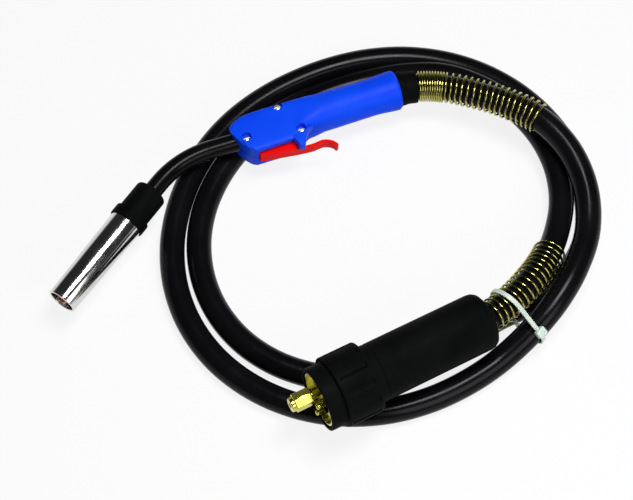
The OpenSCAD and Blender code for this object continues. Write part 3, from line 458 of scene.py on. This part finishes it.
def coil_point(turn):
    t = math.radians(turn)
    r = COIL_R + COIL_OVAL * math.cos(2 * (math.radians(COIL_OVAL_TURN) - t)) + eased(COIL_LAY, turn, 1)
    return Vector((COIL_X + r * math.sin(t), COIL_Y + r * math.cos(t), LIE_Z + eased(COIL_LAY, turn, 2)))


def smooth_curve(points, samples):
    """Smooth curve through points, with a number of samples in each span."""
    p = [2 * points[0] - points[1], *points, 2 * points[-1] - points[-2]]
    curve = []
    for a, b, c, d in zip(p, p[1:], p[2:], p[3:]):
        for k in range(samples):
            u = k / samples
            curve.append(0.5 * (2 * b + (c - a) * u + (2 * a - 5 * b + 4 * c - d) * u**2
                                + (3 * b - a - 3 * c + d) * u**3))
    return curve + [points[-1]]


def cable_route():
    """Points of the cable in the part's frame, from inside the handle to inside the connector."""
    first, last = COIL_LAY[0][0], COIL_LAY[-1][0]
    points = [Vector(p) for p in ROUTE_START]
    points += [coil_point(turn) for turn in range(first, last + 1, COIL_STEP)]
    points.append(Vector(ROUTE_LAST_BEND))
    points += [TAIL + CONN_AXIS * (CABLE_END * k / 2) for k in range(3)]
    return [REAR + p for p in smooth_curve(points, 6)]


route = cable_route()
arc = [0.0]
for a, b in zip(route, route[1:]):
    arc.append(arc[-1] + (b - a).length)
route_len = arc[-1]


def along(s):
    """Point of the route at an arc length."""
    i = max([k for k in range(len(arc) - 1) if k == 0 or arc[k] <= s])
    return route[i].lerp(route[i + 1], (s - arc[i]) / (arc[i + 1] - arc[i]))


cable = add_piece("cable", swept(route, CABLE_R, 32, FLOOR_Z), ON_PART, "cable_rubber", ["power_cable"])


# Support springs, wound round the cable
def wound(start, pitches, mean_r):
    rings = 24
    path, s = [], start
    for pitch in pitches:
        for k in range(rings):
            at = s + pitch * k / rings
            way = (along(at + 2) - along(at - 2)).normalized()
            turn = math.tau * k / rings
            path.append(along(at) + mean_r * (math.cos(turn) * left_of(way) + math.sin(turn) * above(way)))
        s += pitch
    return path


WIRE_R = 0.9
FRONT_SPRING_R = 11.9
REAR_SPRING_R = 12.1
FRONT_PITCHES = [2.17] * 10 + [5.0] * 17
REAR_PITCHES = [5.4] * 17
COLLAR_LEN = 16
COLLAR_GAP = 1
SPRING_SEAT = 6
front_start = IN_HANDLE + COLLAR_LEN + WIRE_R + COLLAR_GAP
rear_start = route_len - CABLE_END + SPRING_SEAT - WIRE_R - FIT - sum(REAR_PITCHES)
front_path = wound(front_start, FRONT_PITCHES, FRONT_SPRING_R)
rear_path = wound(rear_start, REAR_PITCHES, REAR_SPRING_R)
front_spring = add_piece("front_spring", swept(front_path, WIRE_R, 10, FLOOR_Z), ON_PART, "spring_wire",
                         ["front_support_spring"])
rear_spring = add_piece("rear_spring", swept(rear_path, WIRE_R, 10, FLOOR_Z), ON_PART, "spring_wire",
                        ["rear_support_spring"])


# Cable tie round the connector's end of the cable and the outer pass beside it
def rounded_box(low, high, edge):
    (x0, y0, z0), (x1, y1, z1) = low, high
    return eased_edges(prism([(x0, y0), (x1, y0), (x1, y1), (x0, y1)], z0, z1), edge)


def cable_tie_shape():
    """Tie in its own frame, whose plane is about square to both passes, with its head on the outer one."""
    band_t, band_w, edge = 1.3, 3.6, 0.35
    own_r, beside_r = 13.7, 10.8
    lean, head_turn = 0.13, math.radians(95)
    before_end = 22
    outer_from, outer_to = 200, 500
    tie_arc = route_len - CABLE_END - before_end
    at = along(tie_arc)
    own_way = (along(tie_arc + 1) - along(tie_arc - 1)).normalized()
    passes = [i for i, s in enumerate(arc) if outer_from < s < outer_to]
    nearest = min(passes, key=lambda i: abs((route[i] - at).dot(own_way)))
    beside_way = heading(route, nearest)
    mean_way = (own_way + beside_way).normalized()
    axis = (mean_way + lean * left_of(mean_way)).normalized()
    offset = route[nearest] - at
    offset -= beside_way * (offset.dot(axis) / beside_way.dot(axis))
    beside = Vector((offset.dot(left_of(axis)), offset.dot(above(axis))))
    way = math.atan2(beside.y, beside.x)
    half = math.acos((own_r - beside_r) / beside.length)
    steps = 28
    loop = [(Vector((0, 0)), own_r, way + half + (math.tau - 2 * half) * k / steps) for k in range(steps + 1)]
    loop += [(beside, beside_r, way - half + 2 * half * k / steps) for k in range(steps + 1)]
    w = band_w / 2
    section = softened([(0, -w, edge), (band_t, -w, edge), (band_t, w, edge), (0, w, edge)])
    points = []
    for centre, r, a in loop:
        out = Vector((math.cos(a), math.sin(a)))
        points += [(*(centre + out * (r + o)), z) for o, z in section]
    band = points, between_rings(len(loop), len(section), True)
    head = rounded_box((beside_r + 0.65, -3.25, -4), (beside_r + 5.65, 3.25, 4), 0.9)
    stub = rounded_box((beside_r + 1.9, 2.5, -w + 0.3), (beside_r + 3.1, 4.6, w - 0.3), 0.3)
    pawl = rounded_box((beside_r + 5.2, -1.6, -1.7), (beside_r + 5.9, 1.6, 1.7), 0.25)
    head_angle = way + math.copysign(head_turn, beside.x)
    turn = Matrix.Translation((*beside, 0)) @ Matrix.Rotation(head_angle, 4, "Z")
    shape = joined(band, moved(head, turn), moved(stub, turn), moved(pawl, turn))
    frame_way = Matrix((left_of(axis), above(axis), axis)).transposed().to_4x4()
    return shape, Matrix.Translation(at * MM) @ frame_way


tie_shape, tie_frame = cable_tie_shape()
tie = add_piece("tie", tie_shape, tie_frame, "white_plastic", ["cable_tie"])

# Connector on the cable's end. Outline rows are a radius, a station and where needed a corner's rounding
JOURNAL_BORE_R = 14 + FIT
NUT_R = 27.5
SCALLOPS = 12
SCALLOP_FIRST = 105.3
SCALLOP_LAST = 128.0
SCALLOP_STEP = 0.01
PIN_SHIFT = 5.4
PIN_CIRCLE_R = 13.2
HEX_R = 7.2
HOUSING_OUTLINE = [
    (13.6, 0, 0.6), (22.5, 0, 8), (22.5, 94), (22.5, 95, 0.3), (22.1, 95.3, 0.2), (22.1, 96.3, 0.2),
    (22.5, 96.6, 0.3), (22.5, 102, 0.8), (JOURNAL_BORE_R, 102), (JOURNAL_BORE_R, 96), (20, 96), (20, 10),
    (12.1, 10), (12.1, 6), (13.6, 6)]
NUT_OUTLINE = [
    (JOURNAL_BORE_R, 102.3), (NUT_R, 102.3, 1.2), (NUT_R, 104.6), (NUT_R, SCALLOP_FIRST - SCALLOP_STEP),
    (NUT_R, SCALLOP_FIRST), (NUT_R, SCALLOP_LAST), (NUT_R, SCALLOP_LAST + SCALLOP_STEP), (NUT_R, 131, 1.2),
    (24.5, 131, 0.3), (24.5, 143.7, 1), (22, 143.7, 0.4), (22, 108), (JOURNAL_BORE_R, 108)]
PIN_OUTLINE = [
    (0.01, 128.3), (2.7, 128.3, 0.3), (2.7, 130.3, 0.3), (2, 130.3), (2, 146.3, 0.1), (2, 148, 1.2),
    (0.01, 148)]
LINER_OUTLINE = [(2, 146.7), (5, 146.7), (5.5, 160), (5.5, 163, 0.8), (2, 163, 0.4)]


def scalloped(turn, s):
    """Largest radius of the nut's grip where a finger scallop runs."""
    scallop_r, deep = 5.0, 1.2
    pitch = math.tau / SCALLOPS
    off = (turn + pitch / 2) % pitch - pitch / 2
    centre_r = NUT_R + scallop_r - deep
    across = centre_r * math.sin(off)
    if not SCALLOP_FIRST <= s <= SCALLOP_LAST or abs(across) >= scallop_r:
        return math.inf
    return centre_r * math.cos(off) - math.sqrt(scallop_r**2 - across**2)


housing = add_piece("housing", turned(HOUSING_OUTLINE, 128), ON_CONNECTOR, "black_plastic",
                    ["connector_housing"])
nut = add_piece("nut_grip", turned(NUT_OUTLINE, 288, scalloped), ON_CONNECTOR, "black_plastic", ["union_nut"],
                body="nut")
ON_PLUG_PIN = ON_CONNECTOR @ Matrix.Translation((0, -PIN_SHIFT * MM, 0))
for side, turn in (("a", 65), ("b", 115)):
    on_circle = Matrix.Rotation(math.radians(turn), 4, "Z") @ Matrix.Translation((PIN_CIRCLE_R * MM, 0, 0))
    add_piece("sprung_pin_" + side, turned(PIN_OUTLINE, 40), ON_PLUG_PIN @ on_circle, "brass",
                          ["control_pin_" + side], body="control_" + side)
liner_end = add_piece("liner_nut_hex", joined(drum(0, 0, HEX_R, 146.5, 160, 6), turned(LINER_OUTLINE, 64)),
                      ON_PLUG_PIN, "brass", ["liner_nut"])
bevel(liner_end, 0.5)

# Nozzle, insulator and neck
NECK_BORE_R = NECK_R + FIT
NOZZLE_OUTLINE = [
    (10, -2.5, 0.5), (11.8, -2.5, 0.6), (13.5, 77.5, 0.4), (11.6, 77.5, 0.3), (11.6, 65), (11.3, 65)]
INSULATOR_OUTLINE = [
    (NECK_BORE_R, NECK_START), (11.55, NECK_START, 1), (11.55, 77.5), (14.85, 77.5, 1), (14.85, 86.5, 1),
    (13, 86.5, 0.3), (13, 111.5, 2.8), (NECK_BORE_R, 111.5, 0.4)]
add_piece("nozzle_barrel", turned(NOZZLE_OUTLINE, 128), ON_NOZZLE, "nozzle_chrome", ["gas_nozzle"],
          body="nozzle")
add_piece("insulator", turned(INSULATOR_OUTLINE, 128), ON_NOZZLE, "black_plastic", ["nozzle_insulator"])


def neck_path():
    """Middle line of the neck, from the insulator round the bend into the handle."""
    lead_steps, bend_steps = 6, 32
    way = Vector((math.cos(NECK_ANGLE), math.sin(NECK_ANGLE), 0))
    start, bend_start = way * NECK_START, way * BEND_S
    end_x = CORNER.x + TANGENT
    centre = Vector((end_x, CORNER.y - BEND_R, 0))
    turns = [NECK_ANGLE * (1 - k / bend_steps) for k in range(bend_steps + 1)]
    bend = [centre + BEND_R * Vector((-math.sin(a), math.cos(a), 0)) for a in turns]
    lead = [start.lerp(bend_start, k / lead_steps) for k in range(lead_steps)]
    return lead + bend + [Vector((end_x + x, CORNER.y, 0)) for x in (6, 12, 18, 33, 48)]


add_piece("neck", swept(neck_path(), NECK_R, 64), ON_PART, "black_paint", ["swan_neck"])

# Handle shells. Rows are the place behind the nose and the value there
TOP_LINE = [(0, 4.6), (4.6, 8), (13, 11.4), (26, 12.4), (47, 12.6), (75, 14.7), (120, 15.3), (140, 16.5),
            (142, 15.3)]
BOTTOM_LINE = [(0, -25), (47, -25), (62, -16.5), (75, -15.9), (120, -15.3), (140, -16.5), (142, -15.3)]
HALF_LINE = [(0, 12.6), (15, 13), (47, 13.6), (75, 15.3), (120, 15.3), (140, 16.5), (142, 15.3)]
SQUARE_LINE = [(0, 8), (47, 7), (62, 3.4), (75, 2.2), (120, 2), (142, 2)]
FRONT_LINE = [(-0.4, -2), (4.2, -12.75), (9.75, -20.5), (15, -25), (19.5, -30)]
LUG = [(45, -21), (46.2, -24.3), (47.4, -25.8), (47.9, -30.6), (48.8, -31.6), (51.9, -31.9), (52.8, -31),
       (54.4, -27), (57, -22), (60.5, -18.2), (64, -16.2)]
LUG_LOW = 5
LUG_HIGH = 13.5
SCREWS = [(10.4, -9.8), (54.2, -16.2), (42.6, 9.4)]
SCREW_SEAT = 8.4
RECESS_R = 4.1
# Slot for the trigger, whose mouth is a little longer than the slot itself
SLOT_FRONT = 16
SLOT_BACK = 49.5
SLOT_ROOF = -12
SLOT_HALF = 5
MOUTH_BACK = 51
MOUTH_Y = -22.5
BELOW = -45
SLOT = [(SLOT_FRONT, BELOW), (MOUTH_BACK, BELOW), (MOUTH_BACK, MOUTH_Y), (SLOT_BACK, MOUTH_Y),
        (SLOT_BACK, SLOT_ROOF), (SLOT_FRONT, SLOT_ROOF)]
RIM_LINE = [(SLOT_FRONT, MOUTH_Y), (SLOT_BACK, -21)]
# Spans of the shells' sections: first place, last place and how many steps between
SECTION_SPANS = [(0, 13, 13), (13, 47, 17), (47, 75, 20), (75, 120, 9), (120, 140, 10), (140, HANDLE_LEN, 8)]
NECK_SOCKET = 24
SPIGOT_R = 12
SPIGOT_BORE_START = 120
SHELL_EDGE = 0.6


def row_before(line, x):
    i = max([k for k in range(len(line) - 1) if k == 0 or line[k][0] <= x])
    return line[i], line[i + 1], (x - line[i][0]) / (line[i + 1][0] - line[i][0])


def straight(line, x):
    a, b, u = row_before(line, x)
    return a[1] + (b[1] - a[1]) * u


def rounded(line, x):
    a, b, u = row_before(line, x)
    return a[1] + (b[1] - a[1]) * u * u * (3 - 2 * u)


def handle_ring(x):
    """Half of the handle's section at x, from its top over its side to its bottom."""
    steps = 36
    top, bottom = eased(TOP_LINE, x, 1), rounded(BOTTOM_LINE, x)
    power = 2 / straight(SQUARE_LINE, x)
    half_y, half_z = (top - bottom) / 2, rounded(HALF_LINE, x)
    ring = []
    for k in range(steps + 1):
        c, s = math.cos(math.pi * k / steps), math.sin(math.pi * k / steps)
        y = (top + bottom) / 2 + half_y * math.copysign(abs(c) ** power, c)
        ring.append((x, y, half_z * max(s, 0) ** power))
    return ring


def combine(obj, shape, how):
    """Cuts a shape from a piece, or adds it, and keeps the result as the piece's own mesh."""
    points, faces = shape
    tool = bpy.data.objects.new("tool", bpy.data.meshes.new("tool"))
    tool.data.from_pydata([Vector(p) * MM for p in points], [], faces)
    turn_faces_out(tool.data)
    scene.collection.objects.link(tool)
    tool.matrix_world = obj.matrix_world
    mod = obj.modifiers.new("combine", "BOOLEAN")
    mod.operation = how
    mod.object = tool
    mod.solver = "EXACT"
    bpy.context.view_layer.update()
    made = bpy.data.meshes.new_from_object(obj.evaluated_get(bpy.context.evaluated_depsgraph_get()))
    obj.modifiers.clear()
    obj.data = made
    bpy.data.objects.remove(tool)


def bar(x0, x1, y, r):
    """Round bar along the handle."""
    turn = Matrix.Translation((0, y, 0)) @ Matrix.Rotation(math.radians(90), 4, "Y")
    return moved(drum(0, 0, r, x0, x1, 64), turn)


def weigh_edges(mesh, angle, spared):
    """Marks the sharp edges of a mesh for its bevel, apart from those in a spared place."""
    work = bmesh.new()
    work.from_mesh(mesh)
    weight = work.edges.layers.float.new("bevel_weight_edge")
    for edge in work.edges:
        middle = (edge.verts[0].co + edge.verts[1].co) / (2 * MM)
        if edge.calc_face_angle(0) > math.radians(angle) and not spared(middle):
            edge[weight] = 1
    work.to_mesh(mesh)
    work.free()


def slot_rim(up):
    """Leaning cut along the edge of the trigger's slot, where the trigger's flank shows."""
    near, far, lean = 4, 17, 0.25
    points = []
    for x, y in RIM_LINE:
        outside = y - lean * (far - near)
        points += [(x, y, near * up), (x, outside, far * up), (x, BELOW, far * up), (x, BELOW, near * up)]
    return points, between_rings(2, 4, False)


def is_by_screw_or_lug(p):
    screw_reach = 5.2
    lug_top, lug_front, lug_back = -14, 43, 67
    by_screw = any((p.xy - Vector(at)).length < screw_reach for at in SCREWS)
    return by_screw or (p.y < lug_top and lug_front < p.x < lug_back)


def handle_half(name, node, up):
    """Half of the handle. Only the upper one has the screw recesses and the lug behind the trigger."""
    sharp = 35
    ahead_x, past_middle, past_side, past_top = -20, 2, 17, 30
    places = [a + (b - a) * k / steps for a, b, steps in SECTION_SPANS for k in range(steps)]
    rings = [handle_ring(x) for x in places + [HANDLE_LEN]]
    shape = [p for ring in rings for p in ring], between_rings(len(rings), len(rings[0]), False)
    obj = add_piece(name, moved(shape, Matrix.Diagonal((1, 1, up, 1))), ON_HANDLE, "blue_plastic", [node])
    front = smooth_curve([Vector(p) for p in FRONT_LINE], 8)
    ahead = [(ahead_x, front[0].y), *front, (ahead_x, front[-1].y)]
    combine(obj, prism(ahead, *sorted((-past_middle * up, past_side * up))), "DIFFERENCE")
    combine(obj, prism(SLOT, *sorted((-up, SLOT_HALF * up))), "DIFFERENCE")
    combine(obj, slot_rim(up), "DIFFERENCE")
    if up > 0:
        combine(obj, eased_edges(prism(LUG, LUG_LOW, LUG_HIGH), 0.5), "UNION")
        for x, y in SCREWS:
            combine(obj, drum(x, y, RECESS_R, SCREW_SEAT, past_top), "DIFFERENCE")
    combine(obj, bar(-1, NECK_SOCKET, -NECK_DROP, NECK_BORE_R), "DIFFERENCE")
    combine(obj, bar(SPIGOT_BORE_START, HANDLE_LEN + 1, 0, SPIGOT_R + FIT), "DIFFERENCE")
    obj.data.shade_smooth()
    obj.data.set_sharp_from_angle(angle=math.radians(sharp))
    weigh_edges(obj.data, sharp, lambda p: is_by_screw_or_lug(p) and up > 0)
    bevel(obj, SHELL_EDGE, 3, "WEIGHT")


handle_half("handle_upper", "handle_shell_upper", 1)
handle_half("handle_lower", "handle_shell_lower", -1)

# Screws with a slot across a domed head
SCREW_R = 2.8
SCREW_OUTLINE = [(1.5, 6), (1.5, SCREW_SEAT), (SCREW_R, SCREW_SEAT), (SCREW_R, SCREW_SEAT + 1.2)]


def screw_dome_half(x, y, side):
    """Half of a screw's dome, to one side of its slot."""
    foot, rise, half_slot = SCREW_SEAT + 1, 1.3, 0.4
    rows, row_lift, steps = 7, 12, 16
    points = []
    for k in range(rows):
        lift = math.radians(row_lift * k)
        reach = SCREW_R * math.cos(lift)
        first = math.asin(half_slot / reach)
        for j in range(steps + 1):
            turn = first + (math.pi - 2 * first) * j / steps
            points.append((x + reach * math.cos(turn), y + side * reach * math.sin(turn),
                           foot + rise * math.sin(lift)))
    return points, between_rings(rows, steps + 1, False)


def screw(x, y):
    shank = moved(turned(SCREW_OUTLINE, 48, hollow=False), Matrix.Translation((x, y, 0)))
    return joined(shank, screw_dome_half(x, y, 1), screw_dome_half(x, y, -1))


add_piece("screws", joined(*[screw(x, y) for x, y in SCREWS]), ON_HANDLE, "steel", ["handle_screws"])

# Trigger, with a pocket that clears the switch and a hole for its pin
PIVOT = (19.5, -18.2)
PIN_HOLE_R = 1.6
TRIGGER_HALF = 4.5
TRIGGER_EDGE = 0.5
POCKET_FRONT = 23.2
POCKET_BACK = 46
POCKET_HALF = 3.4
POCKET = [(POCKET_FRONT, -15), (POCKET_BACK, -15), (POCKET_BACK, -26.84), (POCKET_FRONT, -24.02)]


def trigger_outline():
    front, end, thick = Vector((16.6, -26)), Vector((47.3, -29.8)), 2.6
    shoulder_y, eye_r = -20.8, 3.2
    tail = [(0, 0), (6.7, -0.6), (12.5, -0.8), (17, -0.3), (21, 0), (25, -1.2), (28.5, -3.6), (31, -7.2)]
    middle = smooth_curve([end + Vector((0, thick / 2)) + Vector(p) for p in tail], 5)
    sides = []
    for i in range(len(middle)):
        way = heading(middle, i)
        sides.append(Vector((-way.y, way.x)) * thick / 2)
    under = [p - s for p, s in zip(middle, sides)]
    over = [p + s for p, s in zip(middle, sides)][:1:-1]
    turns = [math.pi * k / 12 for k in range(13)]
    eye = [Vector(PIVOT) + eye_r * Vector((math.cos(t), math.sin(t))) for t in turns]
    body = [Vector(p) for p in ((48.1, -26.4), (48.1, -23.8), (46, shoulder_y), (22.7, shoulder_y))]
    return [front, *under, *over, *body, *eye, Vector((front.x, shoulder_y))]


def is_by_pocket(p):
    return abs(p.z) < 4 and POCKET_FRONT - 1.2 < p.x < POCKET_BACK + 0.5


trigger = add_piece("trigger_lever", prism(trigger_outline(), -TRIGGER_HALF, TRIGGER_HALF), ON_HANDLE,
                    "red_plastic", ["trigger"], body="trigger_lever")
combine(trigger, prism(POCKET, -POCKET_HALF, POCKET_HALF), "DIFFERENCE")
combine(trigger, drum(*PIVOT, PIN_HOLE_R, -6, 6), "DIFFERENCE")
weigh_edges(trigger.data, 50, is_by_pocket)
bevel(trigger, TRIGGER_EDGE, 3, "WEIGHT")

# Collar between the handle and the cable
COLLAR_BORE_R = 10.8
RING_OUTLINE = [(COLLAR_BORE_R, -4), (13.2, -4), (13.2, 8, 1), (COLLAR_BORE_R, 8, 0.5)]
DISC_OUTLINE = [
    (COLLAR_BORE_R, -12), (SPIGOT_R, -12), (SPIGOT_R, 0), (14.2, 0, 0.5), (14.2, 5.5, 1),
    (COLLAR_BORE_R, 5.5)]
add_piece("collar_ring", turned(RING_OUTLINE, 96), ON_COLLAR, "black_plastic", [])
add_piece("collar_disc", turned(DISC_OUTLINE, 96), ON_REAR, "black_plastic", ["rear_collar"])

# The carried-over nodes take the finish that their record names
for sub in frame["record"]["subparts"]:
    for slot in frame["nodes"][sub["node"]].material_slots:
        slot.material = MATERIALS[sub["material_slot"]]
